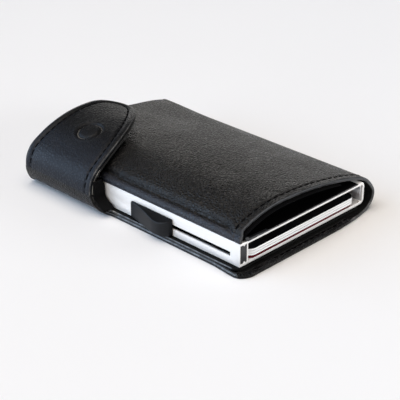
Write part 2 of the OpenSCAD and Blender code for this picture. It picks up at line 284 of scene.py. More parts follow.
def fibrous(name, dark, light, **changes):
    # cut, rubbed and inner faces of hide
    look = {**edgeLook, **changes}
    f = Finish(name)
    fibre = f.cloud(f.stretch(1, 1, look["stretch"]), look["scale"], 4.0, look["grit"])
    low, more = look["rough"]
    return f.coat(f.fit(fibre, *look["span"]), dark, light, low + fibre * more, look["gloss"], fibre, *look["bump"])


def threadFinish():
    f = Finish("stitch_thread")
    twist = f.bands("DIAGONAL", 900.0, 1.5)
    return f.coat(twist, (0.0008, 0.0008, 0.001), (0.0025, 0.0025, 0.003), 0.6 + twist * 0.2, 0.05,
                  twist, 0.5, 0.0001)


def anodised(name, colour, roughness, metal):
    f = Finish(name)
    lines = f.cloud(f.stretch(1, 0.012, 1), 9000, 2.0, 0.5)
    spots = f.cloud(f.at, 140, 2.0)
    return f.coat(f.fit(lines, 0.3, 0.7) * 0.5 + spots * 0.4, [c * 0.94 for c in colour], colour,
                  roughness + lines * 0.1 + spots * 0.06, 0.5, lines, 0.08, 0.00004, Metallic=metal)


def moulded(name, dark, light, roughness, gloss=0.5):
    f = Finish(name)
    speck = f.cloud(f.at, 4200, 3.0, 0.6)
    patch = f.cloud(f.at, 160, 2.0)
    return f.coat(f.fit(patch, 0.3, 0.75) * 0.7 + speck * 0.3, dark, light,
                  roughness + speck * 0.16 + patch * 0.06, gloss, speck, 0.22, 0.00006)


def brushed(name, colour, roughness):
    f = Finish(name)
    lines = f.cloud(f.stretch(1, 0.02, 1), 7000, 3.0, 0.6)
    return f.coat(lines, [c * 0.8 for c in colour], colour, roughness + lines * 0.15, 0.5, lines, 0.1, 0.00005,
                  Metallic=1.0)


def laminate(name, core, face, gloss):
    f = Finish(name)
    mottle = f.cloud(f.at, 900, 2.0)
    layer = f.cloud(f.stretch(0.02, 0.02, 1), 2600, 1.0)
    return f.coat(f.fit(layer, 0.35, 0.65) * 0.7 + mottle * 0.25, core, face, 0.26 + mottle * 0.12, gloss,
                  mottle, 0.05, 0.00005)


def woven(name, dark, light):
    f = Finish(name)
    cloth = f.bands("X", 420.0, 0.6) * 0.5 + f.bands("Y", 420.0, 0.6) * 0.5
    return f.coat(cloth, dark, light, 0.85 - cloth * 0.1, 0.03, cloth, 0.5, 0.0002)


coverLeather = leather("cover_leather")
# the tab's hide is painted lighter and bluish by its tone and tint, painted light of the bluish glow on its wall, and
# darker past the bend, painted shade
tabLeatherPaintedLight = leather("tab_leather", 3.9, 0.5, 0.18, (0.8, 1.03, 1.36), tabMark, (-34, -20, 0.24))
# the flange strip's hide is painted lighter and bluish: painted light of the bluish glow from the left
flangeLeatherPaintedLight = leather("flange_leather_painted_light", 4.6, 0.8, 0.33, (0.82, 1.0, 1.34))
liningLeather = leather("lining_leather", 1.05, 0.6, 0.35)
lipLeather = leather("lip_leather", 0.9, 0.7, 0.15)
fleshFinish = fibrous("flesh_side", (0.0018, 0.0018, 0.002), (0.006, 0.006, 0.0062), scale=3200, grit=0.7,
                      span=(0.3, 0.75), rough=(0.8, 0.15), gloss=0.12, bump=(0.4, 0.0001))
edgeFinish = fibrous("raw_edge", (0.003, 0.003, 0.003), (0.016, 0.015, 0.0145), scale=2600, grit=0.7, stretch=2.5,
                     span=(0.35, 0.75), rough=(0.62, 0.3), gloss=0.25, bump=(0.5, 0.00015))
rubbed = fibrous("rubbed_edge", (0.012, 0.012, 0.0125), (0.10, 0.098, 0.095))
paleEdge = fibrous("pale_edge", (0.045, 0.044, 0.041), (0.3, 0.29, 0.265))
# the rounded edge round the mouth is painted lighter and bluish than the hide: painted light on the turned band
turnedEdgePaintedLight = fibrous("turned_edge_painted_light", (0.0095, 0.0108, 0.0132), (0.021, 0.0235, 0.0285))
# the pocket lining's cut edge is paler than the cloth: partly its own colour, partly a painted highlight along the
# mouth
pocketEdgeAndHighlight = fibrous("pocket_edge_and_highlight", (0.02, 0.02, 0.021), (0.05, 0.05, 0.052))
# the rounded cut edges of the back panel and its lining are painted pale and bluish: painted highlights
lipEdgeHighlight = fibrous("lip_edge_highlight", (0.035, 0.041, 0.048), (0.14, 0.16, 0.18))
thread = threadFinish()
caseMetal = anodised("case_aluminium", (0.88, 0.865, 0.845), 0.34, 0.25)
leverPlastic = moulded("lever_plastic", (0.003, 0.0037, 0.0052), (0.0066, 0.0083, 0.0116), 0.33, 0.23)
# a darker, duller copy of the lever plastic for its flat top: painted shade
leverTopShade = moulded("lever_top_shade", (0.003, 0.0033, 0.004), (0.006, 0.0066, 0.008), 0.5, 0.07)
darkPlastic = moulded("dark_plastic", (0.012, 0.012, 0.013), (0.022, 0.022, 0.024), 0.5)
springSteel = brushed("spring_steel", (0.6, 0.61, 0.63), 0.28)
magnetNickel = brushed("magnet_nickel", (0.66, 0.65, 0.62), 0.2)
whiteCard = laminate("white_card", (0.84, 0.84, 0.845), (0.95, 0.95, 0.945), 0.5)
blackFace = moulded("black_card_face", (0.0015, 0.0015, 0.0018), (0.003, 0.003, 0.0035), 0.6, 0.08)
redCard = laminate("red_card", (0.075, 0.0008, 0.005), (0.11, 0.0015, 0.009), 0.1)
pocketCloth = woven("pocket_cloth", (0.001, 0.001, 0.0012), (0.0035, 0.0035, 0.004))
gluePad = moulded("glue_pad", (0.32, 0.27, 0.15), (0.5, 0.42, 0.24), 0.5)
print("materials made:", len(bpy.data.materials))


# cross sections in X and Z, as runs of arcs and lines with their outward normals

class Profile:
    def __init__(self):
        self.rows = []

    def line(self, start, end, normal, count):
        for t in np.linspace(0, 1, count):
            self.rows.append((*[a + (b - a) * t for a, b in zip(start, end)], *normal))

    def arc(self, centre, radius, first, last, count, out=1):
        for a in np.radians(np.linspace(first, last, count)):
            c, s = math.cos(a), math.sin(a)
            self.rows.append((centre[0] + radius * c, centre[1] + radius * s, out * c, out * s))

    def close(self):
        rows = np.array(self.rows)
        self.table = rows[np.diff(runOf(rows[:, :2]), prepend=-1) > 1e-6]
        self.run = runOf(self.table[:, :2])
        self.length = self.run[-1]
        return self

    def at(self, s):
        return [np.interp(s, self.run, self.table[:, k]) for k in range(4)]


def denseEnds(first, last, edge, fine, coarse):
    # spacing that is fine near both ends and coarse between them
    head = np.arange(0, edge, fine)
    body = np.linspace(edge, (last - first) - edge, max(2, int((last - first - 2 * edge) / coarse)))
    return first + np.concatenate([head, body, (last - first) - head[::-1]])


def edgeRows(grid, rim):
    # a few more rows close to every edge, where the cut is rounded
    for axis in (1, 2):
        rows = np.moveaxis(grid, axis, 0)
        for side in (0, 1):
            rows = rows[::-1]
            step = rows[1] - rows[0]
            reach = np.maximum(np.linalg.norm(step, axis=0), 1e-6)
            wanted = [d for d in rim * (1 - np.cos(np.radians((25, 50, 72, 90)))) if d < reach.mean() * 0.92]
            more = [rows[0] + step * np.minimum(d / reach, 0.95) for d in wanted]
            rows = np.concatenate([rows[:1], *[[row] for row in more], rows[1:]])
        grid = np.moveaxis(rows, 0, axis)
    return grid


def edgeDistance(grid, joined):
    # how far each point lies from the cut edges; a joined sheet has none at its first row
    best = np.full(grid.shape[1:], 1e9)
    for axis in (1, 2):
        rows = np.moveaxis(grid, axis, 0)
        run = np.cumsum(np.linalg.norm(np.diff(rows, axis=0), axis=1), axis=0)
        run = np.concatenate([np.zeros_like(run[:1]), run])
        near = run[-1] - run if joined and axis == 1 else np.minimum(run, run[-1] - run)
        best = np.minimum(best, np.moveaxis(near, 0, axis - 1))
    return best


def leatherSheet(name, xs, ys, zs, thickness, finishes, flip=False, rim=0.28, joined=False, seam=None):
    # a grid of hide, moved to its shape, then given its thickness and rounded, rubbed cut edges
    grid = edgeRows(np.stack([xs, ys, zs]), rim)
    countU, countV = grid.shape[1:]
    inset = edgeDistance(grid, joined)
    if seam:
        inset = np.where(seam(*grid), 1e9, inset)
    piece = newMesh(bpy.ops.mesh.primitive_grid_add, name, x_subdivisions=countU - 1, y_subdivisions=countV - 1,
                    size=1)
    flat = getPoints(piece)
    iu = np.rint((flat[:, 0] + 0.5) * (countU - 1)).astype(int)
    iv = np.rint((flat[:, 1] + 0.5) * (countV - 1)).astype(int)
    setPoints(piece, grid[:, iu, iv].T * mm)
    dress(piece, *finishes)
    if flip:
        inEdit(piece, (bpy.ops.mesh.flip_normals, {}))
    addModifier(piece, "SOLIDIFY", thickness=thickness * mm, offset=-1, use_even_offset=False,
                use_rim=True, material_offset=2, material_offset_rim=1)
    outer, inner = np.split(getPoints(piece), 2)
    # narrow cells at a corner may turn over: there the thickness goes the way it goes further in
    deep = np.empty((countU, countV, 3))
    deep[iu, iv] = inner - outer
    further = deep[np.clip(iu, 9, countU - 10), np.clip(iv, 9, countV - 10)]
    wrong = ((inner - outer) * further).sum(1) < 0
    inner = np.where(wrong[:, None], 2 * outer - inner, inner)
    # both faces draw together toward the edge
    near = inset[iu, iv]
    draw = rim - np.sqrt(np.maximum(rim ** 2 - np.clip(rim - near, 0, rim) ** 2, 0))
    pull = (inner - outer) * (draw / thickness)[:, None]
    setPoints(piece, np.concatenate([outer + pull, inner - pull]))
    near = np.concatenate([near, near])
    paint(piece, 3, lambda face: face.material_index != 1 and max(near[v] for v in face.vertices) < rim * 1.05)
    smooth(piece, 50)
    return piece


def ripple(x, y, size, lift):
    # soft unevenness of the hide, the same on every run
    out = np.empty(x.shape)
    for index in np.ndindex(x.shape):
        out[index] = noise.noise(Vector((x[index] / size, y[index] / size, 3.7)))
    return out * lift


# the front cover: from under the fold, over the note pocket and down to its left flange

coverShape = {
    "leather": 1.2,
    "spine": (28.8715, 6.2604, 6.2604),
    "crest": (-11.5, 17.35),
    "rightR": 143.239,
    "rightAngle": 16.9879,
    "leftR": 42.8889,
    "foldR": 2.5,
    # the left roll at the mouth and further in: its angle and bend, then slope, flat and shoulder of its flange
    "rimFold": (23.643, 0.4, 30.0, 0.26, 1.25),
    "deepFold": (20.86, 0.5, 10.0, 1.2, 1.6),
    "rollEnd": 172,
    "flangeFoot": 10.72,
    "foldChange": (3.0, 4.5),
    "seamX": 20.0,
    "nearEdge": ((0, -52.65), (2.8, -52.4), (6.1, -51.94), (8.9, -51.3), (11.8, -51.0), (18.7, -51.02), (19.8, -50.8),
                 (20.67, -50.35), (22.2, -49.68), (23.8, -49.1), (25.26, -48.6), (26.68, -48.25), (30, -48.05),
                 (34, -48.0)),
    "flangeEdge": ((5.2, -48.0), (2.4, -48.9), (0, -49.1)),    # measured back from the end of the section
    "far": 50.5,
    "sink": 1.15,          # how far the tab presses the far end down
    "sinkAlong": (2, 46),
    "topFrom": (11.2, 4.5),
    "spread": 0.6,         # how far the far end of the spine stands out
    "spreadFrom": (25, 25),
    "stitchIn": 2.7,
    "groove": 0.24,
    "turnedTo": -45,       # round the mouth, up to here, the rounded edge takes the turned-edge finish: painted light, lighter and bluish like a turned-in edge catching the light
    "flangeFrom": (-26.4, 13.1),
}


def rollAt(fold):
    # centre of the left roll
    cx, cz = coverShape["crest"]
    reach = coverShape["leftR"] + coverShape["leather"] - coverShape["foldR"]
    a = math.radians(90 + fold[0])
    return cx + reach * math.cos(a), cz - coverShape["leftR"] + reach * math.sin(a)


def coverProfile(fold):
    c = coverShape
    angle, bend, slope, reach, shoulder = fold
    sx, sz, sr = c["spine"]
    cx, cz = c["crest"]
    fx, fz = rollAt(fold)
    p = Profile()
    end = math.radians(c["rollEnd"])
    p.line((c["seamX"], 0), (sx, 0), (0, -1), 12)
    p.arc((sx, sz), sr, -90, 90 - c["rightAngle"], 60)
    p.arc((cx, cz - c["rightR"]), c["rightR"] + c["leather"], 90 - c["rightAngle"], 90, 60)
    p.arc((cx, cz - c["leftR"]), c["leftR"] + c["leather"], 90, 90 + angle, 40)
    p.arc((fx, fz), c["foldR"], 90 + angle, c["rollEnd"], 24)
    hub = [v + (c["foldR"] + bend) * t for v, t in zip((fx, fz), (math.cos(end), math.sin(end)))]
    p.arc(hub, bend, c["rollEnd"] - 180, slope - 90, 10, -1)
    c1, s1 = math.cos(math.radians(slope)), math.sin(math.radians(slope))
    foot = (hub[0] + bend * s1, hub[1] - bend * c1)
    edge = (foot[0] - reach * c1, foot[1] - reach * s1)
    p.line(foot, edge, (-s1, c1), 4)
    hub = (edge[0] + shoulder * s1, edge[1] - shoulder * c1)
    p.arc(hub, shoulder, 90 + slope, 180, 12)
    p.line((hub[0] - shoulder, hub[1]), (hub[0] - shoulder, c["flangeFoot"]), (-1, 0), 5)
    return p.close()


def foldPair(section):
    # a section at the mouth and further in, measured by the same run
    rim, deep = [section(coverShape[key]) for key in ("rimFold", "deepFold")]
    deep.run = rim.run
    return rim, deep


def between(pair, s, y, near):
    w = ramp(y - near, coverShape["foldChange"])
    return [(1 - w) * a + w * b for a, b in zip(pair[0].at(s), pair[1].at(s))]


coverPair = foldPair(coverProfile)
coverLength = coverPair[0].length


def softLine(knots, last, width):
    # a line through measured points with its corners eased
    fine = np.linspace(0, last, 900)
    step = fine[1]
    raw = np.interp(fine, *np.array(knots).T)
    reach = int(3 * width / step)
    kernel = np.exp(-(np.arange(-reach, reach + 1) * step / width) ** 2 / 2)
    return fine, np.convolve(np.pad(raw, reach, mode="edge"), kernel / kernel.sum(), "valid")


flangeEnd = [(coverLength - back, y) for back, y in coverShape["flangeEdge"]]
nearLine = softLine([*coverShape["nearEdge"], *flangeEnd], coverLength, 0.9)


def coverNear(s):
    return np.interp(s, *nearLine)


def coverAt(s, y):
    return between(coverPair, s, y, coverNear(s))


def sinkAt(y):
    return coverShape["sink"] * ramp(y, coverShape["sinkAlong"])


def onTop(z):
    return ramp(z, coverShape["topFrom"])


def coverSink(x, y, z):
    hold = np.where(x > coverShape["crest"][0], ease((31 - x) / 19) * ease((z - 8) / 3), onTop(z))
    return sinkAt(y) * hold


def coverPoint(s, y):
    x, z, nx, nz = coverAt(s, y)
    c = coverShape
    wave = ripple(x, y, 11, 0.14) * onTop(z)
    seam = bell(y - coverNear(s), c["stitchIn"], 0.42) * np.where(nz > -0.3, 1, 0)
    spread = c["spread"] * ramp(y, c["spreadFrom"]) * ramp(nx, (0.15, 0.45))
    low = c["groove"] * seam - wave - spread
    return x - nx * low, y, z - nz * low - coverSink(x, y, z)


def makeCover():
    c = coverShape
    s = np.concatenate([np.linspace(0, 8, 9), np.arange(8.6, coverLength - 9, 0.6),
                        np.linspace(coverLength - 8.6, coverLength, 56)])
    v = denseEnds(0, 1, 0.085, 0.0031, 0.0088)
    sGrid = np.repeat(s[:, None], len(v), 1)
    near = coverNear(sGrid)
    x, y, z = coverPoint(sGrid, near + (c["far"] - near) * v[None, :])
    piece = leatherSheet("front_cover_leather", x, y, z, c["leather"],
                         [coverLeather, turnedEdgePaintedLight, fleshFinish, rubbed, flangeLeatherPaintedLight], True, 0.34, True)
    half = len(piece.data.vertices) // 2
    right, top = c["flangeFrom"]
    # the rounded edge round the mouth takes the turned-edge finish: painted light
    paint(piece, 1, lambda face: face.material_index == 3 and max(face.vertices) < half
          and face.center.y < c["turnedTo"] * mm)
    # faces of the flange strip take the flange finish: painted bluish light
    paint(piece, 4, lambda face: face.material_index == 0 and face.center.x < right * mm
          and face.center.z < top * mm)
    return piece


coverPiece = makeCover()
print("cover:", len(coverPiece.data.polygons), "faces")


# the back panel with the root of the tab, and the lining on it

backShape = {
    "bendX": -30.9,
    "bendR": 7.6,
    "seamZ": 7.85,
    "tabNear": 14.3,
    "tabFar": 49.0,
    "rootNear": 8.0,
    "joinZ": 7.4,          # the tab goes on from here, without a cut edge
    "rootRub": (6, 17),
    "nearEdge": ((13.0, 0.0), (16.8, 0.22), (20.0, 0.45)),   # the near edge draws back beside the fold
    # height, place and width of the bead and the groove of the turned edge
    "lip": {"bead": (0.42, 0.62, 0.36), "groove": (-0.3, 1.9, 0.3), "gathers": 7, "gatherDepth": 0.36, "step": 0.8,
            "stepX": -24.6, "width": 2.4, "deep": 2.6, "farTo": 8},
}
outerBack = {"right": 20.0, "left": -33.6, "flare": 0.85, "flareFrom": -38.0, "near": -53.1, "far": 50.5,
             "corner": (5.5, 4.0), "depth": 0.0, "inset": 0.0, "slant": 1.0, "thick": 1.15}
innerBack = {"right": 27.9, "left": -33.2, "flare": 0.0, "flareFrom": -38.0, "near": -49.4, "far": 50.1,
             "corner": (2.4, 2.4), "depth": 1.2, "inset": 0.25, "slant": 0.0, "thick": 0.95}
wallRun = backShape["bendR"] * math.pi / 2 + backShape["seamZ"] - backShape["bendR"]


def drawnBack(x):
    return np.interp(x, *np.array(backShape["nearEdge"]).T)


def flareAt(part, y):
    return part["flare"] * ease((part["flareFrom"] - y) / (part["flareFrom"] - part["near"] - part["corner"][1]))


def rootPoint(s, y, depth):
    # s runs from the start of the bend; the hide lies flat before the root and stands up along the tab
    b = backShape
    rise = ease((y - b["rootNear"]) / (b["tabNear"] - b["rootNear"])) * ease((b["tabFar"] + 1.6 - y) / 1.6)
    curve = np.maximum(rise, 0.002) / b["bendR"]
    swing = np.minimum(np.maximum(s, 0) * curve, math.pi / 2)
    past = np.maximum(s, 0) - swing / curve
    x = b["bendX"] - np.sin(swing) / curve - past * np.cos(swing) + np.maximum(-s, 0)
    z = (1 - np.cos(swing)) / curve + past * np.sin(swing)
    nx, nz = -np.sin(swing), -np.cos(swing)
    return x - nx * depth, y, z - nz * depth


def backRows(part):
    # each row is a Y and how far the hide reaches past the start of the bend
    b = backShape
    edge = b["bendX"] - part["left"]
    wide, deep = part["corner"]
    tall = wallRun - edge
    near = b["rootNear"] + part["inset"]
    start = b["tabNear"] + part["inset"]
    stop = b["tabFar"] - part["inset"]
    rows = [(part["near"] + deep * (1 - math.cos(a)), edge + part["flare"] - wide * (1 - math.sin(a)))
            for a in np.radians(np.concatenate([[0], np.linspace(12, 90, 52)]))]
    rows += [(y, edge + float(flareAt(part, y))) for y in np.linspace(part["near"] + deep, near, 70)[1:]]
    rows += [(near + (start - near) * math.sin(a), edge + tall * (1 - math.cos(a)))
             for a in np.radians(np.linspace(0, 90, 16)[1:])]
    rows += [(y, wallRun) for y in np.linspace(start, stop, 44)[1:]]
    rows += [(stop + (part["far"] - stop) * (1 - math.cos(a)), wallRun - tall * math.sin(a))
             for a in np.radians(np.linspace(0, 90, 10)[1:])]
    return rows


def lipOn(piece, part):
    # the cut edge is turned: a bead along it, a stitched groove behind it and gathers round the corner
    wide, deep = part["corner"]
    lip = backShape["lip"]
    spot = getPoints(piece) / mm
    x, y, z = spot.T
    u = (part["left"] - part["flare"] + wide - x) / wide
    v = (part["near"] + deep - y) / deep
    turn = np.arctan2(np.maximum(v, 1e-6), np.maximum(u, 1e-6))
    inset = np.minimum(x - part["left"] + flareAt(part, y), y - part["near"] - drawnBack(x))
    corner = (u > 0) & (v > 0)
    inset = np.where(corner, (1 - np.hypot(u, v)) * (wide + deep) / 2, inset)
    rise = sum(high * bell(inset, at, width) for high, at, width in (lip["bead"], lip["groove"]))
    gather = np.cos(turn * 4 * lip["gathers"]) * ease((3.2 - inset) / 2.2)
    gather = gather * ease(turn / 0.3) * ease((1.62 - turn) / 0.3)
    rise = rise + np.where(corner, lip["gatherDepth"] * gather, 0)
    step = ease((x - lip["stepX"]) / 0.3) * ease((lip["stepX"] + 9 - x) / 8) * ease((2.6 - inset) / 1.5)
    fade = ease((lip["farTo"] - y) / 6) * ease((part["right"] - 1 - x) / 6) * ease((z - 0.35) / 0.5)
    spot[:, 2] += (rise + lip["step"] * step) * fade
    setPoints(piece, spot * mm)
    paint(piece, 0, lambda face: face.material_index in (1, 2) and inset[face.vertices[0]] < lip["width"]
          and face.center.y < lip["farTo"] * mm)


def makeBack(name, part, finishes):
    b = backShape
    rows = backRows(part)
    flatRun = part["right"] - b["bendX"]
    split = flatRun - 4.0
    sGrid = np.empty((96, len(rows)))
    yGrid = np.empty_like(sGrid)
    for j, (y, reach) in enumerate(rows):
        run = np.concatenate([np.linspace(0, split, 42), np.linspace(split, flatRun + reach, 55)[1:]])
        sGrid[:, j] = run - flatRun
        yGrid[:, j] = y
    x, y, z = rootPoint(sGrid, yGrid, part["depth"])
    y = y + part["slant"] * drawnBack(x) * ease((-30 - y) / 19)
    piece = leatherSheet(name, x, y, z, part["thick"], finishes, False, 0.3, True, lambda x, y, z: z > b["joinZ"])
    if part["slant"]:
        lipOn(piece, part)
    low, high = b["rootRub"]
    paint(piece, 4, lambda face: face.normal.z > -0.7 and face.center.y < (part["near"] + b["lip"]["deep"]) * mm)
    paint(piece, 5, lambda face: face.material_index == 3 and low * mm < face.center.y < high * mm)
    return piece


# the back panel's and the lining's rounded edges take the lip-edge finish: painted highlights
backPiece = makeBack("back_cover_leather", outerBack,
                     [coverLeather, edgeFinish, fleshFinish, lipEdgeHighlight, lipLeather, rubbed])
liningPiece = makeBack("back_lining_leather", innerBack,
                       [liningLeather, liningLeather, fleshFinish, lipEdgeHighlight, fleshFinish, paleEdge])
print("back and lining:", len(backPiece.data.polygons) + len(liningPiece.data.polygons), "faces")


# the closing tab, cut flat by its outline and bent along its section

tabShape = {
    "outX": -38.5,
    "bend": (-29.5, 8.46573, 9.0),
    "bendEnd": 117.7177,
    "arch": (-9.5, -29.6, 52.0),
    "near": 14.3,
    "far": 49.0,
    "start": (-35.5, 14.675),
    "corner": (-6.0, 40.5, 10.0),
    "edgeR": 63.0,
    "meetFar": 62.0,
    "droop": -0.2,         # the tip stands off the cover
    "droopFrom": (-16, 20),
    "stitchIn": 2.7,
    "groove": 0.34,
    "bead": 0.24,
    "outer": 1.1,
    "inner": 0.85,
    "glue": 0.03,
    "overhang": 0.22,      # the lining stands out round the edge
    "paleTo": 15.5,        # the lining's cut edge is pale up to this height; above it the edge is painted dark as shade
    "topEnd": 66,
}


def tabProfile():
    t = tabShape
    bx, bz, br = t["bend"]
    ax, az, ar = t["arch"]
    p = Profile()
    p.line((t["outX"], backShape["seamZ"]), (t["outX"], bz), (-1, 0), 4)
    p.arc((bx, bz), br, 180, t["bendEnd"], 40)
    p.arc((ax, az), ar, t["bendEnd"], t["topEnd"], 120)
    return p.close()


tabPath = tabProfile()


def runAt(x):
    # distance along the section to a place on the upper bend or the flap's arch
    bx, bz, br = tabShape["bend"]
    ax, az, ar = tabShape["arch"]
    end = math.radians(tabShape["bendEnd"])
    x = np.asarray(x, float)
    rise = bz - backShape["seamZ"]
    onBend = rise + br * (math.pi - np.arccos(np.clip((x - bx) / br, -1, 1)))
    onArch = rise + br * (math.pi - end) + ar * (end - np.arccos((x - ax) / ar))
    return np.where(x < bx + br * math.cos(end), onBend, onArch)


def tabOutline(inset):
    # near edge, rounded end and far edge as points of run and Y
    t = tabShape
    cx, cy, cr = t["corner"]
    cr -= inset
    start = np.array([t["start"][0], t["start"][1] + inset])
    hub = np.array([cx, cy])
    big = t["edgeR"] - inset
    span = hub - start
    dist = np.linalg.norm(span)
    along = (big ** 2 - (big - cr) ** 2 + dist ** 2) / (2 * dist)
    aside = math.sqrt(big ** 2 - along ** 2)
    centre = start + (along * span + aside * np.array([-span[1], span[0]])) / dist
    first = math.atan2(*(start - centre)[::-1])
    meet = math.atan2(*(hub - centre)[::-1])
    a = np.linspace(first, meet, 60)
    near = np.stack([centre[0] + big * np.cos(a), centre[1] + big * np.sin(a)], 1)
    near[:, 0] = runAt(near[:, 0])
    lead = np.stack([np.linspace(0, near[0, 0], 14)[:-1], np.full(13, 0.0)], 1)
    lead[:, 1] = t["near"] + inset + (near[0, 1] - t["near"] - inset) * ease(lead[:, 0] / near[0, 0])
    near = np.concatenate([lead, near])
    last = math.radians(t["meetFar"])
    nose, turn = [np.stack([runAt(cx + cr * np.cos(a)), cy + cr * np.sin(a)], 1)
                  for a in (np.linspace(meet, last, 60), np.linspace(math.pi / 2, last, 14))]
    straight = np.linspace(0, turn[0, 0], 40)[:-1]
    side = t["far"] - inset
    far = np.stack([straight, side + (turn[0, 1] - side) * ease(straight / turn[0, 0])], 1)
    return near, nose, np.concatenate([far, turn])


def rimLine(inset):
    near, nose, far = tabOutline(inset)
    return np.concatenate([near, nose, far[::-1]])


def resample(line, t):
    run = runOf(line)
    return np.stack([np.interp(t * run[-1], run, line[:, k]) for k in (0, 1)], 1)


def gapTo(line, s, y):
    # distance from points to a polyline in the flat pattern
    best = np.full(s.shape, 1e9)
    for (x0, y0), (x1, y1) in zip(line[:-1], line[1:]):
        dx, dy = x1 - x0, y1 - y0
        t = np.clip(((s - x0) * dx + (y - y0) * dy) / max(dx * dx + dy * dy, 1e-12), 0, 1)
        best = np.minimum(best, np.hypot(s - x0 - t * dx, y - y0 - t * dy))
    return best


tabRim = rimLine(0.0)


def tabDetail(s, y):
    # seam and bead along the rim, the round mark and the hide's unevenness, as depths
    t, m = tabShape, tabMark
    inset = gapTo(tabRim, s, y)
    low = t["groove"] * bell(inset, t["stitchIn"], 0.45) - t["bead"] * bell(inset, 1.2, 0.75)
    off = np.hypot(s - runAt(m["centre"][0]), y - m["centre"][1]) - m["radius"]
    out, width, high = m["rim"]
    low = low + m["deep"] * bell(off, 0, m["groove"]) - m["dome"] * ease(-off / m["radius"])
    low = low - high * bell(off, out, width)
    return low - ripple(s, y, 9, 0.1) * ease(s / 4)


def tabPoint(s, y, depth, detail):
    x, z, nx, nz = tabPath.at(s)
    low = depth + (tabDetail(s, y) if detail else 0)
    return x - nx * low, y, z - nz * low - tabShape["droop"] * ramp(x, tabShape["droopFrom"])


def coons(near, nose, far, u, v):
    n, f = resample(near, u), resample(far, u)
    root = np.stack([np.zeros_like(v), near[0, 1] + (far[0, 1] - near[0, 1]) * v], 1)
    e = resample(nose, v)
    uu, vv = u[:, None, None], v[None, :, None]
    mixed = (1 - vv) * n[:, None] + vv * f[:, None] + (1 - uu) * root[None] + uu * e[None]
    ends = ((1 - uu) * ((1 - vv) * n[0] + vv * f[0]) + uu * ((1 - vv) * n[-1] + vv * f[-1]))
    return mixed - ends


def makeTab(name, inset, depth, thickness, finishes, detail):
    near, nose, far = tabOutline(inset)
    u = np.concatenate([np.linspace(0, 0.16, 14)[:-1], np.linspace(0.16, 0.86, 84)[:-1],
                        np.linspace(0.86, 1, 26)])
    v = denseEnds(0, 1, 0.11, 0.0085, 0.014)
    flat = coons(near, nose, far, u, v)
    x, y, z = tabPoint(flat[..., 0], flat[..., 1], depth, detail)
    return leatherSheet(name, x, y, z, thickness, finishes, False, 0.3 if detail else 0.17, True)


tabPiece = makeTab("tab_leather_outer", 0.0, 0.0, tabShape["outer"],
                   [tabLeatherPaintedLight, tabLeatherPaintedLight, fleshFinish, rubbed], True)
tabInside = makeTab("tab_leather_lining", -tabShape["overhang"], tabShape["outer"] + tabShape["glue"],
                    tabShape["inner"], [liningLeather, edgeFinish, fleshFinish, paleEdge], False)
# above this height the lining's pale cut edge is painted dark: painted shade on the upper part of the edge
paint(tabInside, 1, lambda face: face.material_index == 3 and face.center.z > tabShape["paleTo"] * mm)
print("tab:", len(tabPiece.data.polygons) + len(tabInside.data.polygons), "faces")


# a dark sheet shaped as the lining's hem, turned in from the near edge of the tab towards the case: painted shade,
# filling the gap between tab and case where only shade falls

shadeHemShape = {"outX": -36.9, "inX": -31.9, "low": 2.3, "high": 12.4, "y": 14.05, "root": 4.6, "rootTop": 6.4,
            "thick": 0.6, "lean": 0.4, "narrow": 0.3, "narrowFrom": (10, 3)}


def makeShadeHem():
    h = shadeHemShape
    u, v = np.meshgrid(np.linspace(0, 1, 16), np.linspace(0, 1, 28), indexing="ij")
    z = h["low"] + (h["high"] - h["low"]) * v
    x = h["outX"] + (h["inX"] - h["outX"]) * u * (1 - h["narrow"] * ramp(z, h["narrowFrom"]))
    y = h["y"] - h["root"] * (1 - ease((z - h["low"]) / (h["rootTop"] - h["low"])) ** 0.6) + h["lean"] * v
    return leatherSheet("tab_shade_hem", x, y, z, h["thick"], [fleshFinish] * 4, True, 0.2)


shadeHemPiece = makeShadeHem()


# the pocket's lining, one sheet from its base round the left end and up under the cover

pocketShape = {
    "right": 27.4,
    "near": -49.45,
    "far": 50.0,
    "base": 10.64,
    "thick": 0.5,
    "gap": 0.03,
    "top": 18.0,           # how far right the lining reaches under the cover
    # the thicker left end of the mouth: how much in its corner and along the base, how wide and deep, how high
    "welt": (1.0, 0.45, 14.0, 5.0, 14.0),
    "weltEdge": (3.0, 12.3),    # its edge is turned over this width and height
    "paleTo": 11.25,       # the paler edge, partly painted highlight, shows up to this height
}


def pocketProfile(fold):
    # outer face of the lining, from the right end of the base
    c, p = coverShape, pocketShape
    cx, cz = c["crest"]
    fx, fz = rollAt(fold)
    inner = c["foldR"] - c["leather"] - p["gap"]
    k = math.radians(c["rollEnd"])
    start = (fx + inner * math.cos(k), fz + inner * math.sin(k))
    turn = (start[1] - p["base"]) / (1 + math.sin(k))
    hub = (start[0] - turn * math.cos(k), start[1] - turn * math.sin(k))
    last = 90 - math.degrees(math.asin((p["top"] - cx) / c["rightR"]))
    run = Profile()
    run.line((p["right"], p["base"]), (hub[0], p["base"]), (0, -1), 30)
    run.arc(hub, turn, 270, c["rollEnd"], 24)
    run.arc((fx, fz), inner, c["rollEnd"], 90 + fold[0], 14)
    run.arc((cx, cz - c["leftR"]), c["leftR"] - p["gap"], 90 + fold[0], 90, 24)
    run.arc((cx, cz - c["rightR"]), c["rightR"] - p["gap"], 90, last, 24)
    return run.close()


pocketPair = foldPair(pocketProfile)
pocketLength = pocketPair[0].length


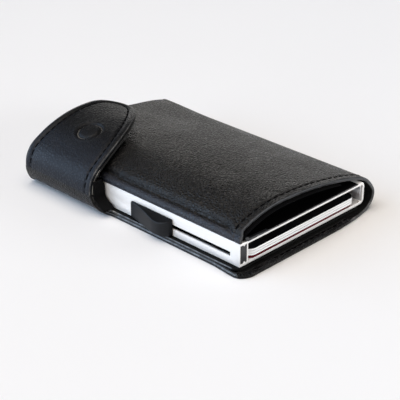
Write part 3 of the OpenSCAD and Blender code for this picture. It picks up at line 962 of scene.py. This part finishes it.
def weltPocket(piece):
    # the seam allowance rounds the lower left end of the mouth
    p = pocketShape
    inCorner, alongBase, width, depth, top = p["welt"]
    outer, inner = np.split(getPoints(piece) / mm, 2)
    inward = (inner - outer) / np.maximum(np.linalg.norm(inner - outer, axis=1), 1e-6)[:, None]
    left = outer[:, 0].min()
    corner = inCorner * np.clip(2 * inward[:, 0] * inward[:, 2], 0, 1)
    base = alongBase * ease((left + width - outer[:, 0]) / width) * ease((inward[:, 2] - 0.6) / 0.4)
    deep = np.maximum(corner, base) * ease((p["near"] + depth - outer[:, 1]) / depth) * (outer[:, 2] < top)
    setPoints(piece, np.concatenate([outer, inner + inward * deep[:, None]]) * mm)
    thick = np.concatenate([deep, deep])
    edgeWide, edgeHigh = p["weltEdge"]
    # the turned faces at the mouth's left end take the turned-edge finish: painted light
    dress(piece, turnedEdgePaintedLight)
    for face in piece.data.polygons:
        x, y, z = face.center / mm
        turned = max(thick[v] for v in face.vertices) > 0.1 or (x < left + edgeWide and z < edgeHigh)
        if face.material_index != 0 and y < p["near"] + 1 and turned:
            face.material_index = 4
        elif z > p["paleTo"]:
            face.material_index = 0


def makePocket():
    p = pocketShape
    s = np.concatenate([np.linspace(0, 50, 26), np.linspace(50.5, 66, 60), np.linspace(66.6, pocketLength, 44)])
    y = p["near"] + (p["far"] - p["near"]) * denseEnds(0, 1, 0.085, 0.006, 0.02)
    sGrid, yGrid = np.meshgrid(s, y, indexing="ij")
    x, z, nx, nz = between(pocketPair, sGrid, yGrid, coverShape["nearEdge"][-1][1])
    z = z - coverSink(x, yGrid, z + coverShape["leather"]) * ease((nz + 0.2) / 0.6)
    piece = leatherSheet("pocket_lining_sheet", x, yGrid, z, p["thick"],
                         [pocketCloth, pocketEdgeAndHighlight, pocketCloth, pocketEdgeAndHighlight], False, 0.14)
    weltPocket(piece)
    return piece


pocketPiece = makePocket()


# the patch over the keeper plate, bent to the cover's inner face

patchShape = {"centre": (-20.6, 33.5), "radius": 6.5, "thick": 0.6, "depth": 0.58}


def makePatch():
    p = patchShape
    piece = newMesh(bpy.ops.mesh.primitive_cylinder_add, "keeper_patch_leather", vertices=56,
                    radius=p["radius"] * mm, depth=p["thick"] * mm, end_fill_type="TRIFAN")
    addModifier(piece, "BEVEL", width=0.18 * mm, segments=2, limit_method="ANGLE", angle_limit=math.radians(50))
    addModifier(piece, "SUBSURF", subdivision_type="SIMPLE", levels=2, render_levels=2)
    cx, cz = coverShape["crest"]
    hub, radius = cz - coverShape["leftR"], coverShape["leftR"] - p["depth"] - p["thick"] / 2
    for vert in piece.data.vertices:
        x, y, z = vert.co / mm
        swing = (x + p["centre"][0] - cx) / radius
        y, z = y + p["centre"][1], z + radius
        vert.co = Vector((cx + z * math.sin(swing), y, hub + z * math.cos(swing) - float(sinkAt(y)))) * mm
    dress(piece, liningLeather)
    smooth(piece)
    return piece


patchPiece = makePatch()


# stitches: one is modelled, then copied along each seam and joined

stitchShape = {"length": 2.2, "pitch": 3.0, "width": 0.74, "height": 0.592, "proud": 0.05}
seamEnds = {"cover": (11.6, 3.6), "tab": 0.9, "back": (26.5, -27.5), "backIn": 1.7, "backZ": 1.16}


def oneStitch():
    piece = newMesh(bpy.ops.mesh.primitive_uv_sphere_add, "stitch", segments=8, ring_count=6, radius=0.5)
    size = [stitchShape[key] * mm for key in ("length", "width", "height")]
    inEdit(piece,
           (bpy.ops.transform.rotate, dict(value=math.pi / 2, orient_axis="Y", center_override=(0, 0, 0))),
           (bpy.ops.transform.resize, dict(value=size, center_override=(0, 0, 0))))
    dress(piece, thread)
    return piece


def sewSeam(name, x, y, z, nx, nz):
    points, normals = np.stack([x, y, z], 1), np.stack([nx, nx * 0, nz], 1)
    run = runOf(points)
    count = int(run[-1] / stitchShape["pitch"])
    master = oneStitch()
    copies = []

    def along(table, spot):
        return Vector([np.interp(spot, run, table[:, i]) for i in range(3)])

    for k in range(count):
        spot = (k + 0.5) * run[-1] / count
        ahead = (along(points, spot + 0.4) - along(points, spot - 0.4)).normalized()
        side = along(normals, spot).normalized().cross(ahead).normalized()
        up = ahead.cross(side)
        copy = master.copy()
        copy.data = master.data.copy()
        bpy.context.scene.collection.objects.link(copy)
        copy.matrix_world = axes(ahead, side, up, (along(points, spot) + up * stitchShape["proud"]) * mm)
        copies.append(copy)
    calm()
    for copy in copies:
        copy.select_set(True)
    bpy.context.view_layer.objects.active = copies[0]
    bpy.ops.object.join()
    seam = bpy.context.object
    seam.name = name
    bpy.ops.object.transform_apply(location=True, rotation=True, scale=True)
    bpy.data.objects.remove(master)
    pick(seam)
    bpy.ops.object.shade_smooth()
    return seam


def seamOnCover():
    first, back = seamEnds["cover"]
    s = np.linspace(first, coverLength - back, 400)
    y = coverNear(s) + coverShape["stitchIn"]
    return *coverPoint(s, y), *coverAt(s, y)[2:]


def seamOnTab():
    line = rimLine(tabShape["stitchIn"])
    s, y = line[line[:, 0] > seamEnds["tab"]].T
    return *tabPoint(s, y, 0.0, True), *tabPath.at(s)[2:]


def seamOnBack():
    # along the inside of the near edge, where it stands out before the mouth
    x = np.linspace(*seamEnds["back"], 200)
    return x, outerBack["near"] + drawnBack(x) + seamEnds["backIn"], x * 0 + seamEnds["backZ"], x * 0, x * 0 + 1


coverSeam = sewSeam("cover_stitches", *seamOnCover())
tabSeam = sewSeam("tab_stitches", *seamOnTab())
backSeam = sewSeam("back_stitches", *seamOnBack())
print("stitches sewn")


# rigid pieces: the CAD solids with their edges broken

cardTrim = {"out": 1.0, "whiteThinner": 0.07, "redThinner": 0.05, "askew": 0.45, "mouthY": -40, "left": -27.3,
            "wide": 54}
# how far faces of the case move, and where those faces are
caseTrim = {"roofUnder": 0.13, "roofTop": 0.15, "slot": 0.2, "wallOut": 0.4, "wallIn": 0.25}
caseFaces = {"bayX": -28.4, "roofFrom": 8.6, "roofTo": 9.78, "topZ": 10.6, "sideX": -30.6, "slotFar": 0.5,
             "slotZ": 5.65, "slotHalf": 0.75, "plugY": -45, "wallOut": -30.8, "wallIn": -28.5, "near": 0.1}


def trimCard(piece, node):
    # the cards lie a little nearer the mouth, and the red one a little askew
    low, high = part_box(node)
    red = node == "card_1"
    thinner = cardTrim["redThinner" if red else "whiteThinner"]
    for vert in piece.data.vertices:
        x, y, z = vert.co / mm
        vert.co.y -= cardTrim["out"] * mm
        vert.co.z += math.copysign(thinner, (low[2] + high[2]) / 2 / mm - z) * mm
        if red and y < cardTrim["mouthY"]:
            vert.co.y += cardTrim["askew"] * (x - cardTrim["left"]) / cardTrim["wide"] * mm


def trimCase(piece, node):
    # a lower roof, a taller slot and thin walls beside the plug
    shell = node == "card_case"
    t, at = caseTrim, caseFaces
    for vert in piece.data.vertices:
        x, y, z = vert.co / mm
        if shell and x > at["bayX"] and at["roofFrom"] < z < at["roofTo"]:
            vert.co.z -= t["roofUnder"] * mm * (z - at["roofFrom"]) / 1.15
        elif shell and z > at["topZ"]:
            vert.co.z -= t["roofTop"] * mm
        elif shell and x < at["sideX"] and y < at["slotFar"] and abs(z - at["slotZ"]) < at["slotHalf"]:
            vert.co.z += math.copysign(t["slot"], z - at["slotZ"]) * mm
        elif y < at["plugY"] and abs(x - at["wallOut"]) < at["near"]:
            vert.co.x -= t["wallOut"] * mm
        elif y < at["plugY"] and abs(x - at["wallIn"]) < at["near"]:
            vert.co.x += t["wallIn"] * mm


def brokenEdges(node, name, width, finish):
    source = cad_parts[node]
    piece = source.copy()
    piece.data = source.data.copy()
    piece.parent = None
    piece.matrix_world = Matrix.Identity(4)
    piece.name = name
    for key in list(piece.keys()):
        del piece[key]
    bpy.context.scene.collection.objects.link(piece)
    inEdit(piece, (bpy.ops.mesh.remove_doubles, dict(threshold=0.000002)),
           (bpy.ops.mesh.dissolve_limited, dict(angle_limit=math.radians(0.5))))
    if finish in (whiteCard, redCard):
        trimCard(piece, node)
    elif node in ("card_case", "channel_plug"):
        trimCase(piece, node)
    addModifier(piece, "BEVEL", width=width * mm, segments=2, limit_method="ANGLE",
                angle_limit=math.radians(30), use_clamp_overlap=True)
    piece.data.materials.clear()
    dress(piece, finish)
    smooth(piece, 35)
    return piece


def darkUpperFace(piece, finish):
    # the upper face of a card takes another finish than its core
    dress(piece, finish)
    paint(piece, 1, lambda face: face.normal.z > 0.7)


channel = {"x": (-30.75, -28.2), "z": (3.2, 9.9)}


def blackenChannel(piece, finish):
    # the faces of the slider's channel in the case take the black finish, darker than the case
    (left, right), (low, high) = channel["x"], channel["z"]
    dress(piece, finish)
    paint(piece, 1, lambda face: left < face.center.x / mm < right and low < face.center.z / mm < high
          and abs(face.normal.y) < 0.7)


# the thumb lever: lofted from its far edge, up a ramp and round its nose, with the stem that goes through the slot

leverShape = {
    "far": 0.8,
    "near": -19.2,
    "back": -31.66,
    "low": 2.35,
    "high": 8.5,
    "slope": 0.34,         # the upper face falls outward
    "slopeFrom": (5.0, 9.0),
    "reach": 3.75,
    "ramp": 14.6,
    "nose": 5.4,
    "soft": 2.4,
    "corner": 0.9,
    "edge": 0.5,
    "stem": ((-31.7, -18.4, 5.17), (-30.45, -0.6, 6.13)),
}


def leverProfile(d):
    q = leverShape
    total = q["far"] - q["near"]
    rise = 0.3 + (q["reach"] - 0.3) * np.clip(d / q["ramp"], 0, 1)
    nose = np.sqrt(np.clip(1 - (np.clip(d - total + q["nose"], 0, None) / q["nose"]) ** 2, 0, 1))
    return np.maximum(rise * nose, 0.12)


def leverReach(d):
    # the ramp turns into the nose over a soft corner
    q = leverShape
    soft = np.mean([leverProfile(d + step) for step in np.linspace(-q["soft"], q["soft"], 11)])
    near = float(bell(d, q["ramp"], 1.3 * q["soft"]))
    return float(leverProfile(d)) * (1 - near) + float(soft) * near


def leverRing(d, count):
    # one closed section across the lever, as X and Z
    q = leverShape
    total = q["far"] - q["near"]
    reach = leverReach(d)
    mid, half = (q["low"] + q["high"]) / 2, (q["high"] - q["low"]) / 2
    for gap, r in ((d, q["corner"]), (total - d, 0.5)):
        if gap < r:
            half -= r - math.sqrt(max(r * r - (r - gap) ** 2, 0))
    r = min(q["edge"], reach * 0.45)
    out = q["back"] - reach
    quarter = np.linspace(0, math.pi / 2, 7)
    path = [(q["back"], mid - half)]
    path += [(out + r - r * math.sin(a), mid - half + r - r * math.cos(a)) for a in quarter]
    path += [(out + r - r * math.cos(a), mid + half - r + r * math.sin(a)) for a in quarter]
    path += [(q["back"], mid + half), (q["back"], mid - half)]
    path = np.array(path)
    slope = q["slope"] * float(ramp(d, q["slopeFrom"]))
    path[:, 1] -= slope * (q["back"] - path[:, 0]) * np.clip((path[:, 1] - mid) / half, 0, 1)
    run = np.concatenate([[0], np.cumsum(np.hypot(*np.diff(path, axis=0).T) + 0.05)])
    t = np.linspace(0, run[-1], count + 1)[:-1]
    return np.interp(t, run, path[:, 0]), np.interp(t, run, path[:, 1])


def makeLever():
    q = leverShape
    around, along = 72, 80
    piece = newMesh(bpy.ops.mesh.primitive_uv_sphere_add, "thumb_lever", segments=around, ring_count=along, radius=1)
    t = np.linspace(0, 1, along + 1)
    t = 0.55 * t + 0.45 * (0.5 - 0.5 * np.cos(math.pi * t))
    stations = (q["far"] - q["near"]) * np.concatenate([[0], t[:-2], [1]])
    rings = [leverRing(d, around) for d in stations]
    for vert in piece.data.vertices:
        i = int(round(math.acos(max(-1, min(1, vert.co.z))) / math.pi * along))
        j = int(round((math.atan2(vert.co.y, vert.co.x) % (2 * math.pi)) / (2 * math.pi) * around)) % around
        xs, zs = rings[i]
        if i in (0, along):
            vert.co = Vector((xs.mean(), q["far"] - stations[i], zs.mean())) * mm
        else:
            vert.co = Vector((xs[j], q["far"] - stations[i], zs[j])) * mm
    low, high = q["stem"]
    stem = newMesh(bpy.ops.mesh.primitive_cube_add, "stem", size=1,
                   location=[(a + b) / 2 * mm for a, b in zip(low, high)])
    bpy.ops.transform.resize(value=[(b - a) * mm for a, b in zip(low, high)])
    bpy.ops.object.transform_apply(location=True, rotation=True, scale=True)
    addModifier(stem, "BEVEL", width=0.1 * mm, segments=2, limit_method="ANGLE")
    pick(piece)
    stem.select_set(True)
    bpy.ops.object.join()
    inEdit(piece, (bpy.ops.mesh.normals_make_consistent, dict(inside=False)))
    dress(piece, leverPlastic, leverTopShade)
    # the flat top facet takes the darker top finish: painted shade
    paint(piece, 1, lambda face: face.normal.z > 0.8 and face.center.x < (q["back"] - 0.2) * mm)
    smooth(piece, 45)
    return piece


leverPiece = makeLever()
rigidPieces = [
    ("card_case", "case_shell", 0.08, caseMetal, "base", "case_metal"),
    ("end_cap", "case_end_cap", 0.12, darkPlastic, "base", "dark_plastic"),
    ("channel_plug", "case_channel_plug", 0.1, darkPlastic, "base", "dark_plastic"),
    ("spring_leaf", "card_spring_leaf", 0.06, springSteel, "base", "spring_steel"),
    ("slider_carriage", "lever_carriage", 0.08, darkPlastic, "slider", "dark_plastic"),
    ("card_pusher", "stepped_pusher", 0.08, darkPlastic, "slider", "dark_plastic"),
    ("card_1", "card_lowest", 0.08, redCard, "card_1_body", "red_card"),
    ("card_2", "card_second", 0.08, whiteCard, "card_2_body", "white_card"),
    ("card_3", "card_third", 0.08, whiteCard, "card_3_body", "white_card"),
    ("card_4", "card_top", 0.08, whiteCard, "card_4_body", "white_card"),
]
for node, name, width, finish, body, slot in rigidPieces:
    piece = brokenEdges(node, name, width, finish)
    if node == "card_4":
        darkUpperFace(piece, blackFace)
    if node == "card_case":
        blackenChannel(piece, blackFace)
    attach(piece, body)
    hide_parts(node)
for node, finish in (("case_adhesive", gluePad), ("flap_magnet", magnetNickel), ("keeper_plate", springSteel)):
    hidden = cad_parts[node]
    hidden.data.materials.clear()
    dress(hidden, finish)
print("rigid pieces:", len(rigidPieces))


# which body each piece goes with: the soft pieces are baked where they lie, the hem, back seam, lever, pocket and
# patch are hung on their bodies

lift = ("base", "front_cover", (0, 0, 1.4), (0, 0, 10.5))
stand = ("base", "tab_wall_body", (-32.65, 0, 1.75), (-37.8, 0, 6.9))
swing = ("tab_wall_body", "tab_flap_body", (-38.4, 0, 8.2), (-34.5, 0, 15.8))
softPieces = [
    (coverPiece, lift, ["front_panel"], "cover_leather"),
    (coverSeam, lift, [], "cover_leather"),
    (backPiece, stand, ["back_panel", "tab_wall"], "cover_leather"),
    (liningPiece, stand, ["back_lining", "tab_wall_lining"], "lining_leather"),
    (tabPiece, swing, ["tab_flap"], "cover_leather"),
    (tabInside, swing, ["tab_flap_lining"], "lining_leather"),
    (tabSeam, swing, [], "cover_leather"),
]
for piece, (still, moving, start, end), nodes, slot in softPieces:
    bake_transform(piece)
    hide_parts(*nodes)
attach(shadeHemPiece, "tab_wall_body")
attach(backSeam, "base")
for piece, body, node, slot in ((leverPiece, "slider", "slider_lever", "lever_plastic"),
                                (pocketPiece, "front_cover", "pocket_panel", "pocket_cloth"),
                                (patchPiece, "front_cover", "keeper_patch", "lining_leather")):
    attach(piece, body)
    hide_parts(node)
print("bodies joined")


# camera, floor and light

view = {"turn": -45.54, "tilt": 27.08, "distance": 0.4423, "target": (-0.00347, -0.00402, 0.0), "lens": 113.04}


def makeCamera():
    turn, tilt = math.radians(view["turn"]), math.radians(view["tilt"])
    back = Vector((math.sin(turn) * math.cos(tilt), -math.cos(turn) * math.cos(tilt), math.sin(tilt)))
    right = Vector((math.cos(turn), math.sin(turn), 0))
    up = back.cross(right)
    spot = Vector(view["target"]) + back * view["distance"]
    data = bpy.data.cameras.new("camera")
    data.sensor_width = 36
    data.lens = view["lens"]
    camera = bpy.data.objects.new("camera", data)
    bpy.context.scene.collection.objects.link(camera)
    camera.matrix_world = axes(right, up, back, spot)
    bpy.context.scene.camera = camera


def makeFloor():
    floor = newMesh(bpy.ops.mesh.primitive_plane_add, "floor", size=4)
    f = Finish("floor_paper")
    haze = f.cloud(f.at, 6, 2.0)
    f.surface(Base_Color=f.blendColour(haze, (0.84, 0.84, 0.845), (0.87, 0.87, 0.875)), Roughness=0.75)
    dress(floor, f.material)


room = {"low": 0.02, "high": 0.46, "horizon": 0.41, "ceiling": 0.045, "behind": 0.25}
glows = [
    # direction, where it starts and is full (cosines), strength, colour
    ((-0.75, 0.65, 0.2), 0.6, 0.97, 3.3, (0.6, 0.77, 1.0)),
]
lights = [
    # name, place, aim, width, height, watts, colour
    ("overhead", (-0.2, 0.0, 1.3), (0, 0, 0), 1.5, 1.5, 17.7, (1.0, 0.905, 0.81)),
    ("right_panel", (0.85, 0.72, 0.12), (0, 0, 0.01), 0.9, 0.26, 0.98, (1.0, 0.97, 0.92)),
    ("front_fill", (0.45, -1.0, 0.15), (0, 0, 0.01), 0.5, 0.4, 8.6, (0.965, 0.985, 1.0)),
    ("side_fill", (-1.0, 0.0, 0.15), (0, 0, 0.01), 0.3, 0.5, 2.1, (1.0, 0.96, 0.91)),
]


def makeRoom():
    # bright round the horizon, as over a white sweep, dim above and behind the camera, with soft glows
    world = bpy.data.worlds.new("studio")
    world.use_nodes = True
    f = Finish("studio_sketch")
    f.tree = world.node_tree
    way = f.node("ShaderNodeTexCoord", {}, {}, "Generated")

    def toward(direction):
        return f.vector("DOT_PRODUCT", {0: way, 1: Vector(direction).normalized()}, "Value")

    level = f.fit(toward((0, 0, 1)), room["low"], room["high"], room["horizon"], room["ceiling"])
    level = level * f.fit(toward((1, 1, 0)), -0.8, 0.3, room["behind"], 1.0)
    light = f.vector("SCALE", {0: (1.0, 0.985, 0.965), "Scale": level})
    for direction, start, full, strength, colour in glows:
        glow = f.fit(toward(direction), start, full, 0.0, strength)
        light = f.vector("ADD", {0: f.vector("SCALE", {0: colour, "Scale": glow}), 1: light})
    f.feed(world.node_tree.nodes["Background"].inputs["Color"], light)
    bpy.data.materials.remove(f.material)
    return world


def makeLights():
    for name, spot, aim, width, height, watts, colour in lights:
        data = bpy.data.lights.new(name, "AREA")
        data.energy = watts
        data.shape = "RECTANGLE"
        data.size = width
        data.size_y = height
        data.color = colour
        lamp = bpy.data.objects.new(name, data)
        lamp.location = spot
        lamp.rotation_euler = (Vector(aim) - Vector(spot)).to_track_quat("-Z", "Y").to_euler()
        bpy.context.scene.collection.objects.link(lamp)
    bpy.context.scene.world = makeRoom()


bpy.context.scene.view_settings.view_transform = "Standard"
makeCamera()
makeFloor()
makeLights()
print("camera, floor and lights set")
